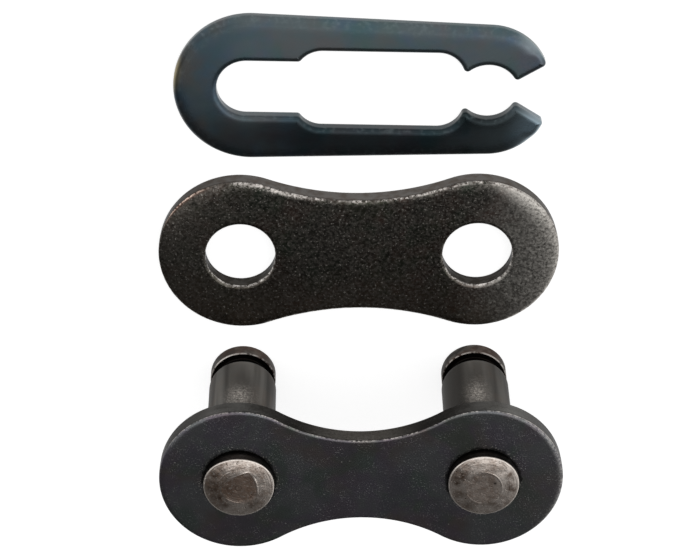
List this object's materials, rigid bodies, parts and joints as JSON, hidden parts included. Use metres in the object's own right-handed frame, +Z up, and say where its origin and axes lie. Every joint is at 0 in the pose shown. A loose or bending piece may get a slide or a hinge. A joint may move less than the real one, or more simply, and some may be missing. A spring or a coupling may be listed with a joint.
{
  "type": "chain connecting link",
  "caption": "Spring-clip connecting link for half-inch roller chain, laid out apart: a standing pin link, a loose cover plate and a forked spring clip.",
  "frame": {"origin": "on the table, under the centre of the laid-out set's box", "axes": "+Z up, away from the table; +Y from the standing pin link, past the cover plate, to the clip; +X along the links, towards the open end of the clip"},
  "size_m": [0.0214, 0.0258, 0.0115],
  "materials": {
    "pin_plate_steel": "carbon steel plate, blue-black heat-treated, tumbled smooth",
    "cover_plate_steel": "carbon steel plate, brown-black heat-treated, shot-peened",
    "pin_steel": "case-hardened turned steel, riveted head",
    "clip_steel": "spring steel, tempered blue-grey, tumbled"
  },
  "bodies": {
    "root": {"pin_plate": "pin_plate_steel", "cover_plate": "cover_plate_steel", "left_pin": "pin_steel", "right_pin": "pin_steel", "spring_clip": "clip_steel"}
  },
  "joints": []
}
